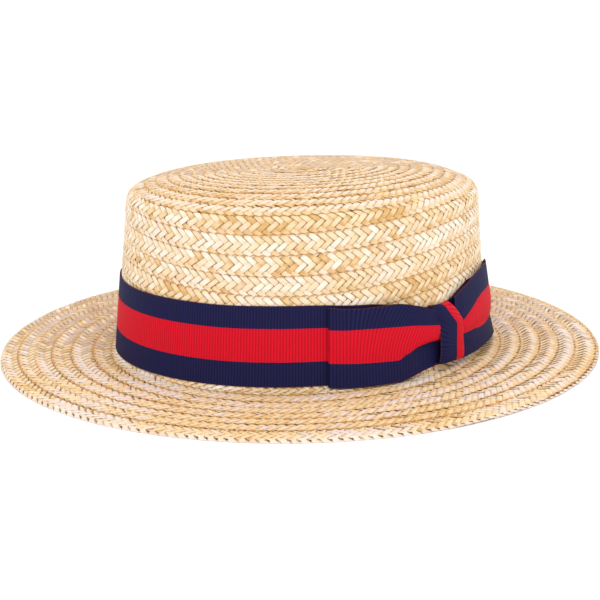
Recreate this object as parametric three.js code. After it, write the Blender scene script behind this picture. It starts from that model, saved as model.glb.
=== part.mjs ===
// A straw boater: an oval crown with a nearly flat tip and a level brim of sewn straw plait, with a striped
// ribbon band and a flat bow on the wearer's left. Millimetres, +Z up, the front towards -Y, the
// wearer's left towards +X, and the origin on the floor under the middle of the crown.
import * as THREE from "three";

// Head oval, a little rounder at the brim's edge
const ovalSpread = 11; // the long half-axis is this much over the mean radius, the short one under it
const brimSpread = 10.1; // the same at the brim's edge
const ovalCore = 24; // inside this mean radius the tip's rows close up towards the centre
const roundSteps = 60;

// Crown, with mean radii of its outside
const crownBaseRadius = 95;
const crownTopRadius = 86.2; // where the wall's line would meet the tip's level
const crownHeight = 97.1;
const tipFlatRadius = 52; // outside this radius the tip slopes down to the shoulder
const tipSlope = THREE.MathUtils.degToRad(25); // where the shoulder begins
const shoulderRadius = 8;
const strawThickness = 2.4;

// Brim
const brimRadius = 157.7;
const brimThickness = 1.4;
const brimEdgeRound = 0.7;
const rootRadius = 2.2; // the rounded corner where the brim turns up into the crown
const seamHeight = 8.3; // the crown and the turned-up root of the brim meet here, behind the band

// Plait rows: each row's far edge lies over the start of the next row
const rowPitch = 9.8;
const rowStep = 0.6;
const bendParts = 3;

// Ribbon
const ribbonThickness = 1;
const ribbonWidth = 40;
const bandLow = 3.2;
const pieceGap = 0.3;

// Bow, on the band at the wearer's left
const knotAngle = THREE.MathUtils.degToRad(27.5);
const frontArcRadius = 102.3; // of the oval between the knot and the front loop's end
const backArcRadius = 91;
const foldRelief = 0.9; // the gathered stripe stands this far over the lower edge beside the knot
const foldReach = 34; // the gather fades out this far from the knot
const loopStep = 5; // distance between the sections that a loop is made through
const turnSteps = 4;

// One row for each section of a loop, from the knot to its folded end: distance along the band,
// heights of the lower edge, the gathered fold and the upper edge, and stand-off from the wall
const frontLoopSections = [
  { along: 5, low: 6.7, fold: 17.9, high: 34.7, stand: 3.9 },
  { along: 10, low: 6.5, fold: 18.1, high: 35.7, stand: 3.9 },
  { along: 16, low: 5.5, fold: 18.7, high: 35.9, stand: 4.2 },
  { along: 24, low: 4, fold: 18.1, high: 39, stand: 4.6 },
  { along: 35, low: 2.7, fold: 13.6, high: 41.7, stand: 4.8 },
  { along: 52, low: 2.6, fold: 14.5, high: 41.7, stand: 4.4 },
  { along: 70, low: 3, fold: 15.5, high: 42.9, stand: 3.8 },
];
const backLoopSections = [
  { along: 5, low: 6.9, fold: 18.3, high: 36.5, stand: 3.9 },
  { along: 10, low: 6.5, fold: 18.5, high: 37.5, stand: 3.9 },
  { along: 14, low: 5.5, fold: 18.6, high: 42, stand: 4.3 },
  { along: 26, low: 5.9, fold: 17.4, high: 45.4, stand: 5 },
  { along: 44, low: 6.2, fold: 17, high: 47, stand: 5.6 },
  { along: 58, low: 5, fold: 15.3, high: 45.3, stand: 5 },
  { along: 70, low: 5, fold: 15.2, high: 44.5, stand: 3.8 },
];

// The knot's strip, from its lower end up over the bow and back to the band: height, stand-off
// from the wall, and how far the strip leans to the front
const knotWidth = 17.6;
const knotThickness = 1.2;
const knotSections = [
  { height: 5.2, stand: 2, lean: 0 },
  { height: 4.9, stand: 4.4, lean: 0 },
  { height: 6.9, stand: 6.4, lean: 0 },
  { height: 14.3, stand: 6.9, lean: 0 },
  { height: 24.3, stand: 6.9, lean: 0 },
  { height: 31.3, stand: 6.6, lean: 3.6 },
  { height: 36.2, stand: 6, lean: 6.6 },
  { height: 37.5, stand: 4.2, lean: 7.4 },
  { height: 37.3, stand: 2, lean: 7.4 },
];

const strawColour = 0xe2c58c;
const navyColour = 0x24264f;
const strawMaterial = () =>
  new THREE.MeshStandardMaterial({ color: strawColour, roughness: 0.55, metalness: 0 });
const ribbonMaterial = () =>
  new THREE.MeshStandardMaterial({ color: navyColour, roughness: 0.7, metalness: 0 });

// Worked out from the sizes above
const halfStep = rowStep / 2;
const tipHeight = crownHeight - halfStep;
const wallTaper = (crownBaseRadius - crownTopRadius) / crownHeight;
const wallLean = Math.atan(wallTaper);
const wallRadius = (height) => crownBaseRadius - wallTaper * height;
const slopeFall = Math.tan(tipSlope / 2); // of the curved slope, for each millimetre of its run
const shoulderInset = shoulderRadius / Math.cos(wallLean); // of the shoulder's centre from the wall's line
const slopeReach = crownBaseRadius - shoulderInset + shoulderRadius * Math.sin(tipSlope) - tipFlatRadius;
const shoulderHeight =
  (tipHeight - slopeReach * slopeFall - shoulderRadius * Math.cos(tipSlope)) / (1 - wallTaper * slopeFall);
const shoulderCentre = wallRadius(shoulderHeight) - shoulderInset;
const slopeRun = shoulderCentre + shoulderRadius * Math.sin(tipSlope) - tipFlatRadius;
const slopeRadius = slopeRun / Math.sin(tipSlope);
const brimLevel = brimThickness + halfStep;
const rootCentre = wallRadius(brimLevel + rootRadius) + rootRadius / Math.cos(wallLean);
const bandInside = halfStep + pieceGap;
const bandOutside = bandInside + ribbonThickness;

// The mean radius and height of the crown's outside, from the middle of the tip down to the seam
function crownLine() {
  const line = new THREE.Path();
  const seamTop = seamHeight + pieceGap;
  const slopeEnd = Math.PI / 2 - tipSlope;
  line.moveTo(0, tipHeight);
  line.lineTo(tipFlatRadius, tipHeight);
  line.absarc(tipFlatRadius, tipHeight - slopeRadius, slopeRadius, Math.PI / 2, slopeEnd, true);
  line.absarc(shoulderCentre, shoulderHeight, shoulderRadius, slopeEnd, wallLean, true);
  line.lineTo(wallRadius(seamTop), seamTop);
  return line;
}

// The same for the brim's upper side, from the seam round the root and out to the edge
function brimLine() {
  const line = new THREE.Path();
  line.moveTo(wallRadius(seamHeight), seamHeight);
  line.absarc(rootCentre, brimLevel + rootRadius, rootRadius, Math.PI + wallLean, 1.5 * Math.PI, false);
  line.lineTo(brimRadius, brimLevel);
  return line;
}

// A point on a line at a distance from its start, moved out along the surface's normal
function offsetPoint(line, distance, offset) {
  const share = THREE.MathUtils.clamp(distance / line.getLength(), 0, 1);
  const point = line.getPointAt(share);
  const tangent = line.getTangentAt(share);
  return new THREE.Vector2(point.x - tangent.y * offset, point.y + tangent.x * offset);
}

// The stepped outside of overlapping plait rows along a line, with rows on a bend in several parts
function rowPoints(line, bendStart, bendEnd) {
  const length = line.getLength();
  const points = [];
  for (let start = 0; start < length - pieceGap; start += rowPitch) {
    const end = Math.min(start + rowPitch, length);
    const parts = start < bendEnd && end > bendStart ? bendParts : 1;
    for (let part = 0; part <= parts; part++) {
      const share = part / parts;
      const distance = THREE.MathUtils.lerp(start, end, share);
      points.push(offsetPoint(line, distance, THREE.MathUtils.lerp(-halfStep, halfStep, share)));
    }
  }
  return points;
}

// How far the oval's half-axes are from a mean radius
function spreadAt(radius) {
  if (radius < ovalCore) return (ovalSpread * radius) / ovalCore;
  return THREE.MathUtils.mapLinear(Math.max(radius, crownBaseRadius), crownBaseRadius, brimRadius,
    ovalSpread, brimSpread);
}

// Turns a round body into the head oval, longer from front to back
function ovalise(geometry) {
  const place = geometry.attributes.position;
  for (let i = 0; i < place.count; i++) {
    const radius = Math.hypot(place.getX(i), place.getY(i));
    const share = radius > 0 ? spreadAt(radius) / radius : 0;
    place.setX(i, place.getX(i) * (1 - share));
    place.setY(i, place.getY(i) * (1 + share));
  }
  return geometry;
}

function ovalBody(profile) {
  return ovalise(new THREE.LatheGeometry(profile, roundSteps).rotateX(Math.PI / 2));
}

// A point beside the crown wall, at an angle of the oval, a height and a stand-off
function wallPoint(angle, height, stand) {
  const radius = wallRadius(height) + stand;
  return new THREE.Vector3(
    (radius - ovalSpread) * Math.cos(angle),
    (radius + ovalSpread) * Math.sin(angle),
    height,
  );
}

// A closed body through matching rings, each one running up its outside and down its inside
function loft(rings) {
  const count = rings[0].length;
  const last = (rings.length - 1) * count;
  const faces = [];
  const addQuad = (a, b, c, d) => faces.push(a, b, c, a, c, d);
  for (let base = 0; base < last; base += count) {
    for (let j = 0; j < count; j++) {
      const next = (j + 1) % count;
      addQuad(base + j, base + next, base + count + next, base + count + j);
    }
  }
  for (let j = 0; j < count / 2 - 1; j++) {
    const back = count - 1 - j;
    addQuad(j, back, back - 1, j + 1);
    addQuad(last + j, last + j + 1, last + back - 1, last + back);
  }
  const places = rings.flatMap((ring) => ring.flatMap((point) => point.toArray()));
  const geometry = new THREE.BufferGeometry();
  geometry.setAttribute("position", new THREE.Float32BufferAttribute(places, 3));
  geometry.setIndex(faces);
  geometry.computeVertexNormals();
  return geometry;
}

function crownGeometry() {
  const line = crownLine();
  const slopeStart = tipFlatRadius;
  const slopeEnd = slopeStart + slopeRadius * tipSlope;
  const shoulderEnd = slopeEnd + shoulderRadius * (Math.PI / 2 - tipSlope - wallLean);
  const outside = rowPoints(line, slopeStart, shoulderEnd);
  const insideStops = [0, slopeStart];
  for (const [from, to] of [[slopeStart, slopeEnd], [slopeEnd, shoulderEnd]]) {
    for (let part = 1; part <= bendParts; part++) {
      insideStops.push(THREE.MathUtils.lerp(from, to, part / bendParts));
    }
  }
  insideStops.push(line.getLength());
  const inside = insideStops.map((stop) => offsetPoint(line, stop, -strawThickness));
  const profile = [...outside, ...inside.reverse()];
  return ovalBody(profile.reverse());
}

function brimGeometry() {
  const line = brimLine();
  const rootEnd = rootRadius * (Math.PI / 2 - wallLean);
  const top = rowPoints(line, 0, rootEnd);
  const edge = [
    new THREE.Vector2(brimRadius + brimEdgeRound, brimThickness / 2),
    new THREE.Vector2(brimRadius, 0),
  ];
  const under = [];
  for (let part = bendParts; part >= 0; part--) {
    under.push(offsetPoint(line, (rootEnd * part) / bendParts, -brimLevel));
  }
  const profile = [...top, ...edge, ...under];
  profile.push(profile[0].clone());
  return ovalBody(profile.reverse());
}

function bandGeometry() {
  const bandHigh = bandLow + ribbonWidth;
  const corner = (height, stand) => new THREE.Vector2(wallRadius(height) + stand, height);
  const profile = [
    corner(bandLow, bandInside),
    corner(bandHigh, bandInside),
    corner(bandHigh, bandOutside),
    corner(bandLow, bandOutside),
    corner(bandLow, bandInside),
  ];
  return ovalBody(profile.reverse());
}

// The values of a table at a distance along it, between its rows
function sectionAt(sections, along) {
  const next = sections.findIndex((section) => section.along >= along);
  const after = sections[next < 0 ? sections.length - 1 : next];
  const before = sections[Math.max(0, next < 0 ? sections.length - 1 : next - 1)];
  const span = after.along - before.along;
  const share = span > 0 ? (along - before.along) / span : 0;
  const value = (name) => THREE.MathUtils.lerp(before[name], after[name], share);
  return { low: value("low"), fold: value("fold"), high: value("high"), stand: value("stand") };
}

// A ribbon loop: along the band to its folded end, round, and back to the knot on the outside
function loopGeometry(sections, side, arcRadius) {
  const innerStand = bandOutside + pieceGap + ribbonThickness / 2;
  const end = sections[sections.length - 1];
  const turnRadius = (end.stand - innerStand) / 2;
  const turnStart = end.along - turnRadius;
  const angleAt = (along) => knotAngle + (side * along) / arcRadius;

  const ringAt = (along, stand, outAlong, outStand, relief) => {
    const { low, fold, high } = sectionAt(sections, Math.min(along, end.along));
    const raised = stand + relief;
    const across = [
      { height: low, stand },
      { height: fold - ribbonThickness, stand },
      { height: fold, stand: raised },
      { height: high, stand },
    ];
    const half = ribbonThickness / 2;
    const face = (way) =>
      across.map((point) =>
        wallPoint(angleAt(along + way * half * outAlong), point.height, point.stand + way * half * outStand),
      );
    const ring = [...face(1), ...face(-1).reverse()];
    return side > 0 ? ring : ring.reverse();
  };

  const straight = [];
  for (let along = sections[0].along; along < turnStart - 1; along += loopStep) {
    straight.push(along);
  }
  const rings = straight.map((along) => ringAt(along, innerStand, 0, -1, 0));
  for (let step = 0; step <= turnSteps; step++) {
    const turn = Math.PI * (step / turnSteps - 0.5);
    const stand = innerStand + turnRadius * (1 + Math.sin(turn));
    rings.push(ringAt(turnStart + turnRadius * Math.cos(turn), stand, Math.cos(turn), Math.sin(turn), 0));
  }
  for (const along of straight.reverse()) {
    const relief = foldRelief * THREE.MathUtils.clamp(1 - along / foldReach, 0, 1);
    rings.push(ringAt(along, sectionAt(sections, along).stand, 0, 1, relief));
  }
  return loft(rings);
}

// The strip wrapped round the middle of the bow
function knotGeometry() {
  const acrossShares = [-0.5, 0, 0.5];
  const rings = knotSections.map((section, i) => {
    const before = knotSections[Math.max(0, i - 1)];
    const after = knotSections[Math.min(knotSections.length - 1, i + 1)];
    const run = new THREE.Vector2(after.height - before.height, after.stand - before.stand).normalize();
    const face = (way) =>
      acrossShares.map((share) => {
        const along = share * knotWidth - section.lean;
        const shift = (way * knotThickness) / 2;
        const arcRadius = along < 0 ? frontArcRadius : backArcRadius;
        const angle = knotAngle + along / arcRadius;
        return wallPoint(angle, section.height - run.y * shift, section.stand + run.x * shift);
      });
    return [...face(1), ...face(-1).reverse()];
  });
  return loft(rings);
}

const boater = new THREE.Group();

function addPiece(name, geometry, material) {
  const mesh = new THREE.Mesh(geometry, material);
  mesh.name = name;
  boater.add(mesh);
}

addPiece("crown", crownGeometry(), strawMaterial());
addPiece("brim", brimGeometry(), strawMaterial());
addPiece("hat_band", bandGeometry(), ribbonMaterial());
addPiece("bow_front_loop", loopGeometry(frontLoopSections, -1, frontArcRadius), ribbonMaterial());
addPiece("bow_back_loop", loopGeometry(backLoopSections, 1, backArcRadius), ribbonMaterial());
addPiece("bow_knot", knotGeometry(), ribbonMaterial());

export default boater;
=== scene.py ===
import math
import bpy
import numpy as np
from mathutils import Matrix, Vector


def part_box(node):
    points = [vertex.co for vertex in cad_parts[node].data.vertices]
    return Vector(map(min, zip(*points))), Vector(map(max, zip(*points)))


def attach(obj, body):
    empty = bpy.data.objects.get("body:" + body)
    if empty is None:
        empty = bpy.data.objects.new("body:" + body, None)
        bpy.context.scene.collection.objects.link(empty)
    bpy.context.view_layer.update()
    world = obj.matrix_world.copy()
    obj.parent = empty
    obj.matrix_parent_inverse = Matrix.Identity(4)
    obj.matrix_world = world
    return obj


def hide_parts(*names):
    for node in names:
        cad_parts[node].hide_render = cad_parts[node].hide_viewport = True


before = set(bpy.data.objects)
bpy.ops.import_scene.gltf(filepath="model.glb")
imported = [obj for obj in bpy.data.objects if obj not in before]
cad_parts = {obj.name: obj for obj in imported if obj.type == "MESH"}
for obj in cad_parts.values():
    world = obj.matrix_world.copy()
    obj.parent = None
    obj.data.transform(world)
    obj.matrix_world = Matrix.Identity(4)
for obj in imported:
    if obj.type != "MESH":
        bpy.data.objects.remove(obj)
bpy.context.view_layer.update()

mm = 0.001
print("frame loaded:", len(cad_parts), "solids")


# camera, where the photograph was taken from
cameraSetup = {
    "eye": (0.58334, -0.24163, 0.2042),
    "forward": (-0.88960, 0.36394, -0.27597),
    "up": (-0.25872, 0.09642, 0.96113),
    "lens": 70.26, "sensorWidth": 36, "clipStart": 0.02,
}


def addObject(name, data):
    thing = bpy.data.objects.new(name, data)
    bpy.context.collection.objects.link(thing)
    return thing


def setCamera(setup):
    camera = addObject("camera", bpy.data.cameras.new("camera"))
    forward = Vector(setup["forward"]).normalized()
    right = forward.cross(Vector(setup["up"])).normalized()
    upward = right.cross(forward)
    turned = Matrix((right, upward, -forward)).transposed().to_4x4()
    camera.matrix_world = Matrix.Translation(setup["eye"]) @ turned
    camera.data.lens = setup["lens"]
    camera.data.sensor_width = setup["sensorWidth"]
    camera.data.clip_start = setup["clipStart"]
    bpy.context.scene.camera = camera


# studio: white surroundings, a pale floor and three soft lights
studioSetup = {
    "worldStrength": 1.12,
    "floorSize": 24,
    "floorColour": (0.94, 0.94, 0.94),
    "floorRoughness": 0.9,
    "aim": (0, 0, 0.05),  # the middle of the hat, which the lights are turned to
    "lights": (  # place, size and power of each
        {"name": "keyLight", "place": (1.15, -0.35, 1.5), "size": 1.1, "power": 7},
        {"name": "fillLight", "place": (1.3, 0.6, 0.9), "size": 1.2, "power": 0.8},
        {"name": "topLight", "place": (-0.3, 0.3, 1.7), "size": 1.4, "power": 1.4},
    ),
}


def setStudio(setup):
    world = bpy.data.worlds.new("studio")
    world.use_nodes = True
    background = world.node_tree.nodes["Background"]
    background.inputs["Color"].default_value = (1, 1, 1, 1)
    background.inputs["Strength"].default_value = setup["worldStrength"]
    bpy.context.scene.world = world
    bpy.context.scene.view_settings.view_transform = "Standard"
    for light in setup["lights"]:
        data = bpy.data.lights.new(light["name"], "AREA")
        data.size = light["size"]
        data.energy = light["power"]
        lamp = addObject(light["name"], data)
        lamp.location = light["place"]
        toHat = Vector(setup["aim"]) - lamp.location
        lamp.rotation_euler = toHat.to_track_quat("-Z", "Y").to_euler()
    half = setup["floorSize"] / 2
    corners = [(-half, -half, 0), (half, -half, 0), (half, half, 0), (-half, half, 0)]
    data = bpy.data.meshes.new("floor")
    data.from_pydata(corners, [], [(0, 1, 2, 3)])
    floor = addObject("floor", data)
    paint = bpy.data.materials.new("floorPaint")
    paint.use_nodes = True
    shader = paint.node_tree.nodes["Principled BSDF"]
    shader.inputs["Base Color"].default_value = (*setup["floorColour"], 1)
    shader.inputs["Roughness"].default_value = setup["floorRoughness"]
    data.materials.append(paint)


setCamera(cameraSetup)
setStudio(studioSetup)
print("camera and studio set")


# form of the hat in millimetres, the crown and brim as one line from the middle of the tip outwards
brimLow, brimHigh = (np.array(corner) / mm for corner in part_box("brim"))
crownLow, crownHigh = (np.array(corner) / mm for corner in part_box("crown"))
hat = {
    "ovalSpread": (crownHigh[1] - crownHigh[0]) / 2,
    "ovalCore": 24, "baseRadius": 95, "topRadius": 86.2,
    "height": crownHigh[2],
    "tipFlat": 52,  # outside this radius the tip slopes down to the shoulder
    "tipSlope": 25, "shoulder": 8, "root": 2.2,
    "brimRadius": (brimHigh[1] + brimHigh[0]) / 2,
    "brimSpread": (brimHigh[1] - brimHigh[0]) / 2,
    "brimLevel": 1.7, "rowStep": 0.3, "seamHeight": 8.3,
    "brimShift": 0.8,  # towards the back of the hat, at the brim's edge
    "brimRise": 1.1,  # of the brim's edge on the side away from this angle
    "brimLowest": -22,
}
wallTaper = (hat["baseRadius"] - hat["topRadius"]) / hat["height"]
wallLean = math.atan(wallTaper)


def wallRadius(height):
    return hat["baseRadius"] - wallTaper * height


def hatLine(form):
    # distance, radius, height and normal of points along the line
    tipHeight = form["height"] - form["rowStep"]
    slope, shoulder = math.radians(form["tipSlope"]), form["shoulder"]
    fall = math.tan(slope / 2)  # of the tip's curved slope, for each millimetre of its run
    inset = shoulder / math.cos(wallLean)
    reach = form["baseRadius"] - inset + shoulder * math.sin(slope) - form["tipFlat"]
    shoulderHeight = (tipHeight - reach * fall - shoulder * math.cos(slope)) / (1 - wallTaper * fall)
    shoulderCentre = wallRadius(shoulderHeight) - inset
    slopeRadius = (shoulderCentre + shoulder * math.sin(slope) - form["tipFlat"]) / math.sin(slope)
    rootHeight = form["brimLevel"] + form["root"]
    rootCentre = wallRadius(rootHeight) + form["root"] / math.cos(wallLean)
    upright = math.pi / 2
    arcs = (  # centre, radius and end directions of the tip's slope, the shoulder and the brim's root
        (form["tipFlat"], tipHeight - slopeRadius, slopeRadius, upright, upright - slope),
        (shoulderCentre, shoulderHeight, shoulder, upright - slope, wallLean),
        (rootCentre, rootHeight, -form["root"], wallLean, upright),
    )
    arcSteps = 40
    beyond = 30  # the line runs on past both ends
    rows = [(-beyond, tipHeight, 0, 1)]
    for centreX, centreZ, radius, fromTurn, toTurn in arcs:
        for turn in np.linspace(fromTurn, toTurn, arcSteps):
            across, above = math.cos(turn), math.sin(turn)
            rows.append((centreX + radius * across, centreZ + radius * above, across, above))
    rows.append((form["brimRadius"] + beyond, form["brimLevel"], 0, 1))
    line = np.array(rows, dtype=float)
    steps = np.hypot(np.diff(line[:, 0]), np.diff(line[:, 1]))
    distance = np.concatenate([[0], np.cumsum(steps)]) - beyond
    seam = distance[2 * arcSteps] + (line[2 * arcSteps, 1] - form["seamHeight"]) / math.cos(wallLean)
    return {"along": distance, "radius": line[:, 0], "height": line[:, 1],
            "outX": line[:, 2], "outZ": line[:, 3],
            "end": distance[-1] - beyond, "shoulderEnd": distance[2 * arcSteps], "seam": seam}


theLine = hatLine(hat)
lineEnd = theLine["end"]
spreadLine = {
    "radius": (-hat["ovalCore"], hat["ovalCore"], hat["baseRadius"], hat["brimRadius"]),
    "spread": (-hat["ovalSpread"], hat["ovalSpread"], hat["ovalSpread"], hat["brimSpread"]),
}
print("line of the hat:", {key: round(float(theLine[key]), 1) for key in ("shoulderEnd", "seam", "end")})


def hatPoint(along, angle, stand):
    # a point at a distance along the line, an angle round the oval and a stand-off from the surface
    radius, height, outX, outZ = (np.interp(along, theLine["along"], theLine[key])
                                  for key in ("radius", "height", "outX", "outZ"))
    radius = radius + outX * stand
    spread = np.interp(radius, spreadLine["radius"], spreadLine["spread"])
    wide, long = radius - spread, radius + spread
    brimWidth = hat["brimRadius"] - hat["baseRadius"]
    onBrim = np.clip((radius - hat["baseRadius"]) / brimWidth, 0, 1)
    raised = ((1 - np.cos(angle - math.radians(hat["brimLowest"]))) / 2) ** 2
    return np.stack([wide * np.cos(angle), long * np.sin(angle) + hat["brimShift"] * onBrim,
                     height + outZ * stand + hat["brimRise"] * raised * onBrim], axis=-1)


def wallPoint(angle, height, stand):
    radius = wallRadius(height) + stand
    wide, long = radius - hat["ovalSpread"], radius + hat["ovalSpread"]
    return np.stack([wide * np.cos(angle), long * np.sin(angle), height + 0 * angle], axis=-1)


def unit(vectors):
    tiny = 1e-9
    return vectors / np.maximum(np.linalg.norm(vectors, axis=-1, keepdims=True), tiny)


def addMesh(name, points, faces, mapPlaces, sharpAngle):
    # a piece from arrays, with a texture map for each corner of its faces, in the faces' order
    data = bpy.data.meshes.new(name)
    data.from_pydata((points * mm).tolist(), [], faces)
    layer = data.uv_layers.new(name="OFBake")
    layer.data.foreach_set("uv", mapPlaces.astype(np.float32).ravel())
    data.polygons.foreach_set("use_smooth", np.ones(len(data.polygons), dtype=bool))
    data.set_sharp_from_angle(angle=math.radians(sharpAngle))
    piece = addObject(name, data)
    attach(piece, "root")
    return piece


# node helpers
def newMaterial(name):
    material = bpy.data.materials.new(name)
    material.use_nodes = True
    tree = material.node_tree
    return material, tree, tree.nodes["Principled BSDF"]


def addNode(tree, kind, inputs=None, **settings):
    node = tree.nodes.new(kind)
    for key, value in settings.items():
        setattr(node, key, value)
    for key, value in (inputs or {}).items():
        socket = node.inputs[key]
        if isinstance(value, bpy.types.NodeSocket):
            tree.links.new(value, socket)
        else:
            socket.default_value = value
    return node


def calculate(operation, *values):
    # the first value is a socket, whose tree gets the new node
    node = addNode(values[0].id_data, "ShaderNodeMath", dict(enumerate(values)), operation=operation)
    return node.outputs[0]


def plus(first, second):
    return calculate("ADD", first, second)


def times(first, second):
    return calculate("MULTIPLY", first, second)


def scaled(value, factor, offset):
    return calculate("MULTIPLY_ADD", value, factor, offset)


def smoothStep(value, low, high, fromValue=0, toValue=1):
    node = addNode(value.id_data, "ShaderNodeMapRange", {
        "Value": value, "From Min": low, "From Max": high, "To Min": fromValue, "To Max": toValue},
        interpolation_type="SMOOTHSTEP")
    return node.outputs[0]


def mixColour(tree, share, first, second, blend="MIX"):
    first, second = ((*colour, 1) if isinstance(colour, tuple) else colour for colour in (first, second))
    node = addNode(tree, "ShaderNodeMix", {0: share, 6: first, 7: second},  # the node's set for colours
                   data_type="RGBA", blend_type=blend, clamp_factor=True)
    return node.outputs[2]


# straw plait
strawLook = {
    "cells": 32,  # the map's cells each way: tone from left to right, kinds of tile from bottom to top
    # first row of each kind of tile: pale ones with a painted sheen and golden ones of flat rows, the side,
    # a flat row's inner half with deeper painted gap shade, turns at the brim's edge, on the side and on
    # flat rows, and greyer flat ones, a painted shaded copy of the pale ones for the side away from the
    # light
    "kinds": {"paleSheen": 0, "golden": 4, "plain": 8, "deep": 12,
              "rimFold": 16, "softFold": 20, "darkFold": 24, "greyShade": 28},
    "variants": 4,  # rows of each kind
    "tones": (  # even steps from the deepest straw to the palest
        (0.66, 0.39, 0.15), (0.81, 0.575, 0.305), (0.84, 0.655, 0.42),
        (0.86, 0.705, 0.52), (0.91, 0.81, 0.68),
    ),
    # the pale colour is a painted sheen and the grey one a painted shaded copy of it; the gap and dot
    # colours are painted shade in gaps and at turns, and the fold and edge colours are partly painted shade
    # at a row's edge
    "blush": (0.84, 0.6, 0.44), "paleSheen": (0.81, 0.67, 0.60),
    "gold": (0.87, 0.60, 0.28), "greyShade": (0.47, 0.325, 0.27),
    "gapShade": (0.15, 0.065, 0.016), "foldColour": (0.72, 0.41, 0.13),
    "edgeColour": (0.48, 0.22, 0.05), "dotShadow": (0.07, 0.03, 0.01),
    "goldShare": 0.45, "deepGold": 0.25, "greyShare": 0.5,
    "grainStretch": (1.4, 5.5, 60),  # of the streaks along a straw, across it and from straw to straw
    "grainScale": 1.6, "grainDetail": 3,
    # straight changes: a factor and an offset
    "grainTone": (0.7, -0.3), "roughness": (0.25, 0.3),
    "flatDip": (-0.5, 1), "flatGap": (-0.6, 1), "gapDepth": (0.4, 0.6),
    "gapFrom": (-0.22, 0.79), "gapTo": (-0.14, 0.88),  # across a straw, wider on deep tiles
    "foldShare": (0.25, 0.1), "lineFrom": (-0.14, 0.6),
    "dotFrom": (-0.15, 0.36), "dotStrength": (0.6, 0.35),
    # smooth ramps: where they begin and end, and their values there
    "endShade": (0.1, 0.34, 0, 0.22), "blushRamp": (0.55, 1, 0, 0.4), "sheenRamp": (0.3, 0.8, 0.3, 0.7),
    "dipRamp": (0.35, 0.45, 0, 0.75), "upperGap": (0.15, 0.07, 0, 0.35), "rimFace": (0.4, 0.46, 0, 0.6),
    "dotAcross": (0.62, 0.76), "dotEnd": (0.38, 0.43), "dotChance": (0, 0.5, 0.1, 1),
    "deepGap": 0.8, "gapMost": 0.95, "lineWidth": 0.07, "lineMost": 0.8, "dotLength": 0.1,
    "specular": 0.2, "bumpStrength": 0.25, "bumpDistance": 0.0002,
}


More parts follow.
